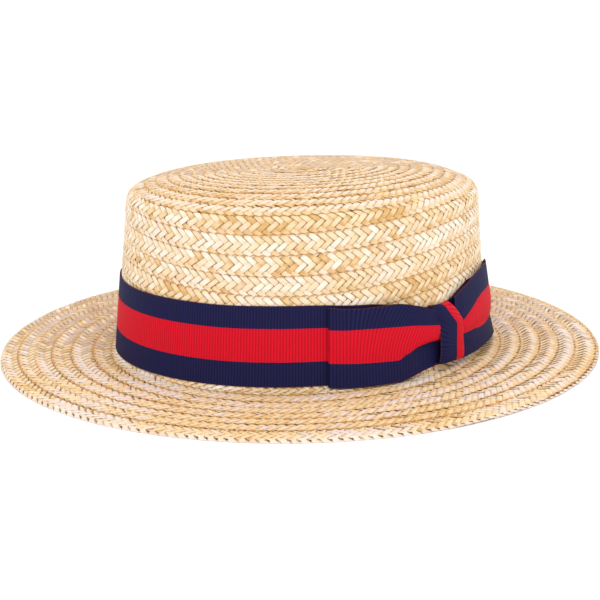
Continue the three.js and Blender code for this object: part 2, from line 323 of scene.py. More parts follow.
def makeStraw(look):
    material, tree, shader = newMaterial("wheatStraw")
    uvMap = addNode(tree, "ShaderNodeUVMap", uv_map="OFBake")
    parts = addNode(tree, "ShaderNodeSeparateXYZ", {0: uvMap.outputs[0]})
    column = times(parts.outputs[0], look["cells"])
    row = times(parts.outputs[1], look["cells"])
    columnCell, rowCell = calculate("FLOOR", column), calculate("FLOOR", row)
    run, across = calculate("FRACT", column), calculate("FRACT", row)
    cell = addNode(tree, "ShaderNodeCombineXYZ", {0: columnCell, 1: rowCell})
    chance = addNode(tree, "ShaderNodeTexWhiteNoise", {"Vector": cell.outputs[0]}, noise_dimensions="2D")
    chanceParts = addNode(tree, "ShaderNodeSeparateColor", {0: chance.outputs["Color"]})
    grainChance, blushChance, gapChance = chanceParts.outputs

    def maskOf(kind):
        # 1 on the rows of a kind of tile
        fromRow = look["kinds"][kind] - 0.5
        above = calculate("GREATER_THAN", rowCell, fromRow)
        return times(above, calculate("LESS_THAN", rowCell, fromRow + look["variants"]))

    def change(value, key):
        return scaled(value, *look[key])

    def ramp(value, key):
        return smoothStep(value, *look[key])

    def tint(share, key):
        return mixColour(tree, share, colour, look[key])

    # tone of the straw, with fine streaks along it
    stretched = map(times, (run, across, grainChance), look["grainStretch"])
    grainPlace = addNode(tree, "ShaderNodeCombineXYZ", dict(enumerate(stretched)))
    grain = addNode(tree, "ShaderNodeTexNoise", {
        "Vector": grainPlace.outputs[0], "Scale": look["grainScale"],
        "Detail": look["grainDetail"]}).outputs[0]
    fromMiddle = calculate("ABSOLUTE", plus(run, -0.5))
    tone = calculate("DIVIDE", columnCell, look["cells"] - 1)
    tone = plus(tone, change(grain, "grainTone"))
    # painted shade: the tone falls towards each tile's ends, where the straw dives under its neighbour
    tone = calculate("SUBTRACT", tone, ramp(fromMiddle, "endShade"))
    toneRamp = addNode(tree, "ShaderNodeValToRGB", {0: tone})
    stops = toneRamp.color_ramp.elements
    while len(stops) < len(look["tones"]):
        stops.new(0.5)
    for index, stop in enumerate(stops):
        stop.position = index / (len(stops) - 1)
        stop.color = (*look["tones"][index], 1)
    colour = toneRamp.outputs[0]
    colour = tint(ramp(blushChance, "blushRamp"), "blush")

    # changes by the kind of tile: a painted sheen on pale tiles, gold, and painted shade on grey ones
    paleSheen, golden, deep, greyShade = map(maskOf, ("paleSheen", "golden", "deep", "greyShade"))
    colour = tint(times(paleSheen, ramp(tone, "sheenRamp")), "paleSheen")
    colour = tint(scaled(deep, look["deepGold"], times(golden, look["goldShare"])), "gold")
    colour = tint(times(greyShade, look["greyShare"]), "greyShade")

    # painted shade where a straw dips under its neighbour and along its edges, most on the lower one
    flat = plus(paleSheen, golden)
    dipShade = times(ramp(fromMiddle, "dipRamp"), change(flat, "flatDip"))
    colour = tint(dipShade, "gapShade")
    depth = times(change(gapChance, "gapDepth"), change(flat, "flatGap"))
    depth = calculate("MAXIMUM", depth, times(deep, look["deepGap"]))
    gapFrom, gapTo = change(deep, "gapFrom"), change(deep, "gapTo")
    lowerShade = times(smoothStep(across, gapFrom, gapTo, 0, look["gapMost"]), depth)
    colour = tint(calculate("MAXIMUM", lowerShade, ramp(across, "upperGap")), "gapShade")

    # the turn at a row's edge is golden with a brown line, partly painted shade under the edge, and at the
    # brim's edge it takes the painted pale sheen
    rim, softFold, darkFold = map(maskOf, ("rimFold", "softFold", "darkFold"))
    rowFold = plus(softFold, darkFold)
    colour = tint(times(rowFold, change(darkFold, "foldShare")), "foldColour")
    lineFrom = change(darkFold, "lineFrom")
    lineTo = plus(lineFrom, look["lineWidth"])
    edgeLine = times(rowFold, smoothStep(run, lineFrom, lineTo, 0, look["lineMost"]))
    colour = tint(edgeLine, "edgeColour")
    colour = tint(times(rim, ramp(run, "rimFace")), "paleSheen")

    # a painted shadow dot at one corner of each turn, in the gap between turns
    strong = plus(darkFold, rim)
    dotFrom = change(strong, "dotFrom")
    dotTo = plus(dotFrom, look["dotLength"])
    corner = times(ramp(across, "dotAcross"), smoothStep(run, dotFrom, dotTo))
    below = times(rim, ramp(run, "dotEnd"))
    corner = times(corner, scaled(below, -1, 1))
    strength = times(change(strong, "dotStrength"), ramp(gapChance, "dotChance"))
    shadowDot = times(times(plus(rowFold, rim), corner), strength)
    colour = tint(shadowDot, "dotShadow")

    tree.links.new(colour, shader.inputs["Base Color"])
    tree.links.new(scaled(grain, *look["roughness"]), shader.inputs["Roughness"])
    shader.inputs["Specular IOR Level"].default_value = look["specular"]
    bump = addNode(tree, "ShaderNodeBump", {
        "Height": grain, "Strength": look["bumpStrength"], "Distance": look["bumpDistance"]})
    tree.links.new(bump.outputs[0], shader.inputs["Normal"])
    return material


strawPlait = {
    "seed": 20, "ends": 7,
    "half": 6.15,  # from the plait's middle to its edge
    "strandStep": 4.5,  # between neighbouring straws along the plait
    "crossStep": 1.925,  # across the plait for each half of that step
    "strandHalf": 1.42,
    "unevenPlace": 0.17,  # straws lie a little out of step along the plait, and differ in width
    "unevenWidth": 0.07, "widthLimits": (0.84, 1.08), "edgeJitter": 0.15,
    "endShare": 0.97, "endWidths": (0.95, 1.05),  # of the half step that a turn at an edge takes up
    "strandThick": 0.34,
    "crossLift": 0.21,  # over and under the middle of the plait
    "topStand": 0.3, "floorClear": 0.1, "innerEnd": 2.4,
    "taperLength": 70, "taperEnd": 0.4,  # the plait narrows over this last length, down to this share
    "spiralStep": 0.02, "courseStep": 0.004,  # along the hat's line, and round the hat in radians
    "levelTurn": 0.97,  # of a whole turn, along the brim's edge
    # rows along the hat's line: pitch of the spiral, and a row's edge that lies at this angle
    "rowPlaces": (0, 70, 82, 91, 101, 111, 118, 170, 181, 200, 216, 220, 222, 232),
    "rowPitch": (6.6, 6.4, 7.2, 9.9, 10.3, 9.0, 10.2, 10.2, 8.7, 9, 7.9, 8, 12, 12),
    "rowMark": (102.2, 0),
    # rows are rounder than the head oval, so each dips twice in a turn, by this much, lowest at this angle
    "dipPlaces": (0, 50, 86, 92, 120, 187, 194, 202, 210, 218, 230),
    "dipReach": (0, 2, 2.3, 4.3, 5.3, 7.9, 6.8, 3.7, 2.3, 0.8, 0),
    "dipAngle": (-33, -33, -33, -33, -22, -17, -17, -20, -28, -35, -35),
    # a row's section: it comes up from under the edge of the row before it, and turns down at its own
    "risePlaces": (-2.5, -0.3, 1.5, 3.7, 6),
    "rise": (-1.0, -0.88, -0.42, -0.12, 0),
    # along the hat's line, and how high the rows' steps are there
    "stepPlaces": (0, 86, 94, 170, 185, 240),
    "stepThere": (0.55, 0.55, 0.8, 0.8, 0.65, 0.65),
    "fallPlaces": (2.5, 4.5, 6.2),
    "fall": (0, -0.06, -0.25),
    "rimReach": 1.1,  # the brim's edge turns down over this distance
    "rimDrop": 1.55, "closingInset": 0.5,
    "rimMargin": 0.8,  # for what counts as the edge's own row
    "strawLength": (90, 240), "strawPerCrossing": 21, "leastCrossings": 2,
    "strawTone": 0.23, "toneLimits": (-0.4, 0.45), "toneTop": 0.999,
    "tileTone": 0.07,  # from tile to tile
    "tonePlaces": (0, 70, 95, 165, 185, 240),  # along the hat's line
    "toneThere": (0.27, 0.27, 0.54, 0.54, 0.46, 0.46),
    # of tiles that run outwards, tiles that run inwards and folds, on the side and on flat rows; the folds'
    # lower tone is partly painted shade at the rows' edges
    "sideTone": (0.0, 0.05, -0.06),
    "flatTone": (-0.03, 0.05, -0.12),
    "flatSpread": 0.85,  # straws differ less there
    "tipSpread": 0.45,  # and less again on the tip, with weaker patches
    "tipPatch": 0.55,
    "patchLength": 22,  # the whole plait is lighter and deeper by turns
    "patchTone": 0.16,
    "sideEnds": (86, 172),  # along the hat's line, where the side begins and ends
    # painted light: the side towards the camera and the key light has a brighter tone, less painted sheen
    # and fewer painted gap shadows
    "litAngle": -22,
    "litPlaces": (0.35, 0.8),  # cosine of the angle to that side, from none to all
    "litTip": 0.35,  # share of it on the tip
    "litTone": 0.2,
    "litShut": 0.85,  # share of tiles there that leave out the painted deep gap shade
    # flat tiles take the painted pale sheen in patches lighter than this, with changes on the lit side and
    # the tip
    "paleFrom": -0.2,
    "sheenLitShift": 0.25,
    "paleScatter": 0.13,  # from tile to tile
    "paleTip": -0.25,
    "softTip": 0.72,  # share of softer row edges on the tip
    "awayPlaces": (-0.25, 0.3),  # cosine of the angle to the lit side, and share of grey tiles with painted shade there
    "awayGrey": (0.85, 0),
    # sections of one crossing: half steps along the plait, places across it and lift
    "travel": (0, 1.3, 1.7, 2.5, 3.3, 3.7, 4.5, 5.3, 5.7, 6.5, 7),
    "across": (-3.19, -2.2, -1.8, -1, -0.2, 0.2, 1, 1.8, 2.2, 2.85, 3.19),
    "lift": (-0.4, -0.85, 0.85, 1, 0.85, -0.85, -1, -0.85, 0.85, 0.85, 0.4),
    # the tile that each stretch between sections belongs to, and where it begins and ends along it
    "tile": (0, 1, 1, 1, 1, 2, 2, 3, 3, 3),
    "tileStart": (0.72, 0.0, 0.16, 0.5, 0.84, 0.16, 0.5, 0.0, 0.16, 0.5),
    "tileEnd": (1.0, 0.16, 0.5, 0.84, 1.0, 0.5, 0.84, 0.16, 0.5, 0.72),
    "tilePlaces": (0, 0.33, 0.66, 1),  # of the four tiles along a crossing
    # across a straw: two low edges beside a raised middle, in shares of its half width and its thickness
    "section": ((1, -0.5), (0, 0.5), (-1, -0.5)),
    "cellAcross": (0.07, 0.5, 0.93),  # their places in a cell of the map
    "cellMargin": 0.05, "sharpAngle": 50,
    "closingShift": 0.001,  # so that closing faces aren't flat in the map
}
crossingLength = strawPlait["ends"] * strawPlait["strandStep"] / 2


def layPlait(plait):
    # the middle of the plait from the brim's edge inwards: a level turn that closes the edge, then a spiral
    step = plait["spiralStep"]
    along = np.arange(lineEnd - plait["half"], plait["innerEnd"], -step)
    pitch = np.interp(along, plait["rowPlaces"], plait["rowPitch"])
    angle = np.concatenate([[0], np.cumsum(2 * math.pi * step / pitch[:-1])])
    markAlong, markAngle = plait["rowMark"]
    angle += math.radians(markAngle) - np.interp(plait["half"] - markAlong, -along, angle)
    levelTurn = 2 * math.pi * plait["levelTurn"]
    even = np.arange(angle[0] - levelTurn, angle[-1], plait["courseStep"])
    evenAlong = np.interp(even, angle, along)
    drop = np.clip((angle[0] - even) / (2 * math.pi), 0, 1)
    edge = evenAlong + plait["half"]
    reach = np.interp(edge, plait["dipPlaces"], plait["dipReach"])
    lowest = np.radians(np.interp(edge, plait["dipPlaces"], plait["dipAngle"]))
    middle = evenAlong + reach * np.cos(2 * (even - lowest)) - plait["closingInset"] * drop
    places = hatPoint(middle, even, 0 * drop)
    print("plait closes from", round(math.degrees(angle[0]) % 360), "degrees")
    steps = np.linalg.norm(np.diff(places, axis=0), axis=1)
    length = np.concatenate([[0], np.cumsum(steps)])
    visible = np.interp(evenAlong, plait["rowPlaces"], plait["rowPitch"]) * (1 - drop)
    return {"length": length, "angle": even, "along": evenAlong, "middle": middle, "visible": visible}


def courseAt(course, key, length):
    return np.interp(length, course["length"], course[key])


def strandRings(plait, course, rng, begin, way):
    # one strand's crossings of the plait, as rings of three points
    travel, lift = np.array(plait["travel"]), np.array(plait["lift"])
    halfStep = plait["strandStep"] / 2
    slant = math.atan2(plait["crossStep"], halfStep)
    base = plait["topStand"] - plait["crossLift"] - plait["strandThick"] / 2
    atEnds = np.isin(np.arange(len(travel)), (0, len(travel) - 1))
    each = (len(begin), 1)
    length = begin[:, None] + travel * halfStep + rng.normal(0, plait["unevenPlace"], each)
    uneven = np.clip(rng.normal(1, plait["unevenWidth"], each), *plait["widthLimits"])
    strandHalf = plait["strandHalf"] * uneven
    toEnd = course["length"][-1] - length
    grown = np.interp(toEnd, (0, plait["taperLength"]), (plait["taperEnd"], 1))
    edge = plait["half"] + rng.uniform(-plait["edgeJitter"], plait["edgeJitter"], each)
    endHalf = halfStep * plait["endShare"] * rng.uniform(*plait["endWidths"], each)
    outLength = way * np.where(atEnds, endHalf, strandHalf * math.sin(slant)) * grown
    outAcross = np.where(atEnds, 0, -strandHalf * math.cos(slant)) * grown
    middleAcross = way * np.array(plait["across"]) * plait["crossStep"] * grown
    ring = []
    for share, raised in plait["section"]:
        there = length + share * outLength
        across = np.clip(middleAcross + share * outAcross, -edge * grown, edge * grown)
        along = courseAt(course, "middle", there) + across
        fromEdge = across - plait["half"] + courseAt(course, "visible", there)
        stand = base + plait["crossLift"] * lift + raised * plait["strandThick"]
        step = np.interp(along, plait["stepPlaces"], plait["stepThere"])
        stand = stand + step * np.interp(fromEdge, plait["risePlaces"], plait["rise"])
        stand = stand + np.interp(across, plait["fallPlaces"], plait["fall"])
        rim = np.clip((along - lineEnd) / plait["rimReach"] + 1, 0, 1)
        stand = stand - plait["rimDrop"] * rim ** 2
        place = hatPoint(along, courseAt(course, "angle", there), stand)
        lowest = plait["floorClear"] + 0.5 * plait["strandThick"] * (raised + 0.5)
        place[..., 2] = np.maximum(place[..., 2], lowest)
        ring.append(place)
    return np.stack(ring, axis=2)


def tileLooks(plait, course, rng, begin, way, patches):
    # tone and map row of the tiles of one strand's crossings
    count, tiles = len(begin), len(plait["tilePlaces"])
    kinds = strawLook["kinds"]
    level = courseAt(course, "along", begin)[:, None]
    sideStart, sideEnd = plait["sideEnds"]
    upright = (level > sideStart) & (level < sideEnd)
    onTip = level < sideStart

    # tone by straw, each one some crossings long, with a little change from tile to tile
    strawTone = np.zeros((count, 1))
    at = 0
    while at < count:
        run = int(rng.uniform(*plait["strawLength"]) / plait["strawPerCrossing"])
        run = max(plait["leastCrossings"], run)
        strawTone[at:at + run] = np.clip(rng.normal(0, plait["strawTone"]), *plait["toneLimits"])
        at += run
    tone = strawTone + rng.normal(0, plait["tileTone"], (count, tiles))
    tone = tone * np.where(upright, 1, np.where(onTip, plait["tipSpread"], plait["flatSpread"]))
    outwards, inwards, fold = np.split(np.where(upright, plait["sideTone"], plait["flatTone"]), 3, axis=1)
    between = np.where(way > 0, outwards, inwards)
    tone = tone + np.concatenate([fold, between, between, fold], axis=1)
    tone = tone + np.interp(level, plait["tonePlaces"], plait["toneThere"])
    patch = np.interp(begin[:, None] + crossingLength * np.array(plait["tilePlaces"]), *patches)
    tone = tone + patch * np.where(onTip, plait["tipPatch"], 1)

    # painted light on the side towards the camera and the key light: a brighter tone, and fewer painted
    # deep gap shadows and pale sheen tiles there
    angle = courseAt(course, "angle", begin)[:, None]
    toLit = np.cos(angle - math.radians(plait["litAngle"]))
    litShare = np.interp(toLit, plait["litPlaces"], (0, 1))
    litShare = litShare * np.where(level > sideEnd, 1, plait["litTip"])
    tone = tone + np.where(upright, 0, plait["litTone"] * litShare)

    # gaps and folds, with their painted shade, are marked more on the tip and the brim than on the side
    softer = upright | (onTip & (rng.random((count, 1)) < plait["softTip"]))
    foldKind = np.where(softer, kinds["softFold"], kinds["darkFold"])
    onRim = level > lineEnd - plait["half"] - plait["rimMargin"]
    foldKind = np.where(onRim, kinds["rimFold"], foldKind)
    paleFrom = plait["paleFrom"] + plait["sheenLitShift"] * litShare + np.where(onTip, plait["paleTip"], 0)
    hasSheen = patch[:, 1:3] + rng.normal(0, plait["paleScatter"], (count, 2)) > paleFrom
    flatKind = np.where(hasSheen, kinds["paleSheen"], kinds["golden"])
    gaping = (way > 0) & (rng.random((count, 1)) > plait["litShut"] * litShare)
    flatKind = np.where(gaping, kinds["deep"], flatKind)
    away = np.interp(toLit, plait["awayPlaces"], plait["awayGrey"])
    flatKind = np.where(rng.random((count, 2)) < away, kinds["greyShade"], flatKind)
    tileKind = np.where(upright, kinds["plain"], flatKind)
    kind = np.concatenate([foldKind, tileKind, foldKind], axis=1)
    variant = rng.integers(0, strawLook["variants"], (count, tiles))
    return np.clip(tone, 0, plait["toneTop"]), kind + variant


def layStraws(plait, course):
    # every strand's crossings of the plait, with the looks of their tiles
    rng = np.random.default_rng(plait["seed"])
    fullLength = course["length"][-1]
    patchPlaces = np.arange(0, fullLength + plait["patchLength"], plait["patchLength"])
    patches = patchPlaces, rng.normal(0, plait["patchTone"], len(patchPlaces))
    straws = {"begin": [], "ring": [], "tone": [], "row": []}
    for end in range(plait["ends"]):
        start = end * plait["strandStep"]
        number = np.arange(int((fullLength - start) / crossingLength))
        begin = start + number * crossingLength
        way = np.where(number % 2 == 0, 1, -1)[:, None]
        ring = strandRings(plait, course, rng, begin, way)
        tone, row = tileLooks(plait, course, rng, begin, way, patches)
        for key, value in (("begin", begin), ("ring", ring), ("tone", tone), ("row", row)):
            straws[key].append(value)
    return {key: np.concatenate(values) for key, values in straws.items()}


def plaitPiece(name, plait, straws, fromLength, toLength, material):
    # straws that begin between two lengths of the plait, each crossing a closed strip with a raised middle
    cells = strawLook["cells"]
    chosen = (straws["begin"] >= fromLength) & (straws["begin"] < toLength)
    ring = straws["ring"][chosen]
    count, sections = ring.shape[:2]
    here = (np.arange(count)[:, None] * sections + np.arange(sections - 1)) * 3
    after = here + 3
    tile = np.array(plait["tile"])
    column = np.floor(straws["tone"][chosen][:, tile] * cells)
    row = straws["row"][chosen][:, tile].astype(float)
    margin = plait["cellMargin"]
    startU, endU = ((column + margin + (1 - 2 * margin) * np.array(plait[key])) / cells
                    for key in ("tileStart", "tileEnd"))
    acrossV = [(row + share) / cells for share in plait["cellAcross"]]
    quads, corners = [], []
    for near, far in ((0, 1), (1, 2), (2, 0)):
        quads.append(np.stack([here + near, here + far, after + far, after + near], axis=-1))
        places = ((startU, near), (startU, far), (endU, far), (endU, near))
        corners.append(np.stack([np.stack([u, acrossV[side]], axis=-1) for u, side in places], axis=-2))
    first, last = here[:, 0], after[:, -1]
    closing = np.concatenate([np.stack([first, first + 2, first + 1], axis=1),
                              np.stack([last, last + 1, last + 2], axis=1)])
    closingMap = []
    for u, order, stretch in ((startU[:, 0], (0, 2, 1), 0), (endU[:, -1], (0, 1, 2), -1)):
        places = [(u + plait["closingShift"] * (point == 1), acrossV[point][:, stretch]) for point in order]
        closingMap.append(np.array(places).transpose(2, 0, 1))
    faces = np.concatenate([group.reshape(-1, 4) for group in quads]).tolist() + closing.tolist()
    mapPlaces = np.concatenate([group.reshape(-1, 2) for group in corners + closingMap])
    piece = addMesh(name, ring.reshape(-1, 3), faces, mapPlaces, plait["sharpAngle"])
    piece.data.materials.append(material)
    return piece


tipCore = {  # the plait's start, tucked in flat under its first turn
    "strands": 9, "step": 2.2, "half": 1.3,
    "reach": 11,  # to each side of the middle
    "depth": 0.75, "weave": 0.12, "tone": 0.45,
}


def layCore(core, plait, straws):
    # straight straws over the middle of the tip, added to the others
    sections = len(plait["travel"])
    run = np.linspace(-core["reach"], core["reach"], sections)
    level = hat["height"] - hat["rowStep"] - core["depth"]
    rings = []
    for strand in range(core["strands"]):
        beside = (strand - (core["strands"] - 1) / 2) * core["step"]
        above = level + core["weave"] * np.where((np.arange(sections) + strand) % 2 == 0, 1, -1)
        ring = []
        for share, raised in plait["section"]:
            ring.append(np.stack([beside - share * core["half"] + 0 * run, run,
                                  above + raised * plait["strandThick"]], axis=-1))
        rings.append(np.stack(ring, axis=1))
    count = core["strands"]
    looks = (count, len(plait["tilePlaces"]))
    return {"begin": np.append(straws["begin"], np.full(count, straws["begin"].max())),
            "ring": np.concatenate([straws["ring"], np.stack(rings)]),
            "tone": np.concatenate([straws["tone"], np.full(looks, core["tone"])]),
            "row": np.concatenate([straws["row"], np.full(looks, strawLook["kinds"]["plain"])])}


straw = makeStraw(strawLook)
plaitCourse = layPlait(strawPlait)
hatStraws = layCore(tipCore, strawPlait, layStraws(strawPlait, plaitCourse))
seamLength, shoulderLength = np.interp((-theLine["seam"], -theLine["shoulderEnd"]),
                                       -plaitCourse["along"], plaitCourse["length"])
wholeLength = plaitCourse["length"][-1]
brimPlait = plaitPiece("brim_plait", strawPlait, hatStraws, 0, seamLength, straw)
crownSide = plaitPiece("crown_side_plait", strawPlait, hatStraws, seamLength, shoulderLength, straw)
crownTip = plaitPiece("crown_tip_plait", strawPlait, hatStraws, shoulderLength, wholeLength, straw)
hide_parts("brim")
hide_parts("crown")
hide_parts("crown")
triangles = [sum(len(face.vertices) - 2 for face in piece.data.polygons)
             for piece in (brimPlait, crownSide, crownTip)]
print("straw plait laid:", round(wholeLength * mm, 2), "m,", triangles, "triangles")


# ribbon
ribbonLook = {
    "navy": (0.0131, 0.0131, 0.068),
    "red": (0.67, 0.0058, 0.022),
    # the edge colour is a painted highlight, a thin line where both edges catch the light
    "edgeHighlight": (0.07, 0.02, 0.042),
    "stripeLow": 0.31,  # share of the ribbon's width
    "stripeHigh": 0.721,
    "stripeJitter": (0.0024, -0.0012),  # a factor and an offset, as in threadShade and roughness
    "navyValley": 0.6,  # how much darker the valleys between ribs are, as painted shade
    "redValley": 0.42,
    "edgeWidth": 0.009,
    "ribsPerTile": 16,
    "threadStretch": (0.37, 150),  # of the warp threads along and across the ribbon
    "threadScale": 1, "threadDetail": 2, "threadShade": (0.36, 0.82),
    "roughness": (0.2, 0.5), "specular": 0.08, "bumpStrength": 0.2, "bumpDistance": 0.0001,
}


def makeRibbon(look):
    material, tree, shader = newMaterial("grosgrainRibbon")
    uvMap = addNode(tree, "ShaderNodeUVMap", uv_map="OFBake")
    parts = addNode(tree, "ShaderNodeSeparateXYZ", {0: uvMap.outputs[0]})
    ribs = times(parts.outputs[0], look["ribsPerTile"])
    across = parts.outputs[1]
    wave = calculate("SINE", times(calculate("FRACT", ribs), math.pi))
    # stripe edges step a little from rib to rib
    ribCell = calculate("MODULO", calculate("FLOOR", ribs), look["ribsPerTile"])
    chance = addNode(tree, "ShaderNodeTexWhiteNoise", {"W": ribCell}, noise_dimensions="1D")
    shifted = plus(across, scaled(chance.outputs["Value"], *look["stripeJitter"]))
    overLow = calculate("GREATER_THAN", shifted, look["stripeLow"])
    inRed = times(overLow, calculate("LESS_THAN", shifted, look["stripeHigh"]))
    colour = mixColour(tree, inRed, look["navy"], look["red"])
    # painted highlight along both edges
    fromMiddle = calculate("ABSOLUTE", plus(across, -0.5))
    edgeHighlight = calculate("GREATER_THAN", fromMiddle, 0.5 - look["edgeWidth"])
    colour = mixColour(tree, edgeHighlight, colour, look["edgeHighlight"])
    # warp threads across the ribs, and painted shade in the valleys between them
    stretchAlong, stretchAcross = look["threadStretch"]
    threadPlace = addNode(tree, "ShaderNodeCombineXYZ", {
        0: times(ribCell, stretchAlong), 1: times(across, stretchAcross)})
    thread = addNode(tree, "ShaderNodeTexNoise", {
        "Vector": threadPlace.outputs[0], "Scale": look["threadScale"],
        "Detail": look["threadDetail"]}).outputs[0]
    valley = scaled(inRed, look["redValley"] - look["navyValley"], look["navyValley"])
    shade = scaled(times(valley, scaled(wave, -1, 1)), -1, 1)
    shade = times(shade, scaled(thread, *look["threadShade"]))
    shadeColour = addNode(tree, "ShaderNodeCombineColor", {0: shade, 1: shade, 2: shade})
    colour = mixColour(tree, 1.0, colour, shadeColour.outputs[0], blend="MULTIPLY")
    tree.links.new(colour, shader.inputs["Base Color"])
    tree.links.new(scaled(thread, *look["roughness"]), shader.inputs["Roughness"])
    shader.inputs["Specular IOR Level"].default_value = look["specular"]
    bump = addNode(tree, "ShaderNodeBump", {
        "Height": thread, "Strength": look["bumpStrength"], "Distance": look["bumpDistance"]})
    tree.links.new(bump.outputs[0], shader.inputs["Normal"])
    return material


weave = {
    "width": 40, "thick": 0.4, "sharpAngle": 65,
    "ribPitch": 1.4, "ribHeight": 0.1,
    "ribShape": (0, 0.72, 1, 0.72),  # heights of the four sections of a rib
}
ribSections = len(weave["ribShape"])


def ribbonPiece(name, grid, across, closed, outward, material):
    # a ribbed sheet with two sides from a grid of points: sections along it, then points across it
    along, count = grid.shape[:2]
    if closed:
        runAlong = np.roll(grid, -1, axis=0) - np.roll(grid, 1, axis=0)
    else:
        runAlong = np.gradient(grid, axis=0)
    normal = unit(np.cross(runAlong, np.gradient(grid, axis=1))) * outward
    rib = np.array(weave["ribShape"])[np.arange(along) % ribSections] * weave["ribHeight"]
    offset = normal * (weave["thick"] / 2 + rib[:, None, None])
    points = np.concatenate([grid + offset, grid - offset]).reshape(-1, 3)
    last = along if closed else along - 1
    i, j = np.divmod(np.arange(last * (count - 1)), count - 1)
    backStart = along * count
    here, after = i * count + j, (i + 1) % along * count + j
    quads = np.stack([here, after, after + 1, here + 1], axis=1)
    backQuads = quads[:, ::-1] + backStart
    sections = np.arange(last)
    start, stop = sections * count, (sections + 1) % along * count
    low = np.stack([start, start + backStart, stop + backStart, stop], axis=1)
    high = np.stack([start, stop, stop + backStart, start + backStart], axis=1) + count - 1
    groups = [quads, backQuads, low, high]
    indexes = [i, i, sections, sections]
    if not closed:
        first = np.arange(count - 1)
        final = first + (along - 1) * count
        groups.append(np.stack([first, first + 1, first + 1 + backStart, first + backStart], axis=1))
        groups.append(np.stack([final, final + backStart, final + 1 + backStart, final + 1], axis=1))
        indexes += [np.zeros(count - 1, dtype=int), np.full(count - 1, along - 1)]
    faces = np.concatenate(groups)
    starts = np.concatenate(indexes)
    # along the map in ribs, so that it repeats, and across it from the lower edge to the upper one
    corner = faces % backStart
    section = corner // count
    section = np.where(closed & (section < starts[:, None]), section + along, section)
    tile = ribSections * ribbonLook["ribsPerTile"]
    mapU = (section - (starts[:, None] // tile) * tile) / tile
    mapPlaces = np.stack([mapU, across.reshape(-1)[corner]], axis=2)
    if outward < 0:
        faces, mapPlaces = faces[:, ::-1], mapPlaces[:, ::-1]
    piece = addMesh(name, points, faces.tolist(), mapPlaces.reshape(-1, 2), weave["sharpAngle"])
    piece.data.materials.append(material)
    return piece


ribbon = makeRibbon(ribbonLook)

hatBand = {
    "low": 3.2, "stand": 0.78, "rows": 14,
    "waves": ((0.12, 3, 0.6), (0.08, 7, 2.0)),  # height, number round the crown and phase
    "waveFoot": 0.4,  # share of them at the lower edge, with 1 more at the upper one
    # drawn together behind the knot: angles in degrees, heights of the lower and upper edges
    "drawnAt": (-100, -60, -43, -30, -17, -12, -4.7, 1.8, 7.3, 14, 18.5, 22.5, 27.5, 32, 36, 41),
    "drawnLow": (3.2, 3.2, 3.2, 3.2, 3.2, 3.2, 3.2, 3.2, 3.3, 4.2, 5.2, 5.8, 5.8, 5.2, 4.4, 3.2),
    "drawnHigh": (43.6, 43.6, 43.7, 44.1, 44, 43.6, 42.5, 42, 40.7, 38.4, 36.6, 35.7, 35.6, 38.1, 41, 43.6),
}


def bandSheet(band):
    middle = wallRadius(band["low"] + weave["width"] / 2) + band["stand"]
    girth = 2 * math.pi * middle
    ribs = round(girth / weave["ribPitch"])
    angle = np.linspace(0, 2 * math.pi, ribs * ribSections, endpoint=False)
    share = np.linspace(0, 1, band["rows"])
    turned = np.degrees((angle + math.pi) % (2 * math.pi) - math.pi)
    low = np.interp(turned, band["drawnAt"], band["drawnLow"])[:, None]
    high = np.interp(turned, band["drawnAt"], band["drawnHigh"])[:, None]
    # the ribbon's pull is a little uneven round the crown
    wave = sum(height * np.sin(count * angle + phase) for height, count, phase in band["waves"])
    heights = low + (high - low) * share[None, :] + wave[:, None] * (band["waveFoot"] + share[None, :])
    angles = np.broadcast_to(angle[:, None], heights.shape)
    grid = wallPoint(angles, heights, band["stand"])
    across = np.broadcast_to(share, heights.shape)
    piece = ribbonPiece("hat_band_ribbon", grid, across, True, 1, ribbon)
    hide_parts("hat_band")
    return piece


bandPiece = bandSheet(hatBand)
print("hat band made:", len(bandPiece.data.polygons), "faces")


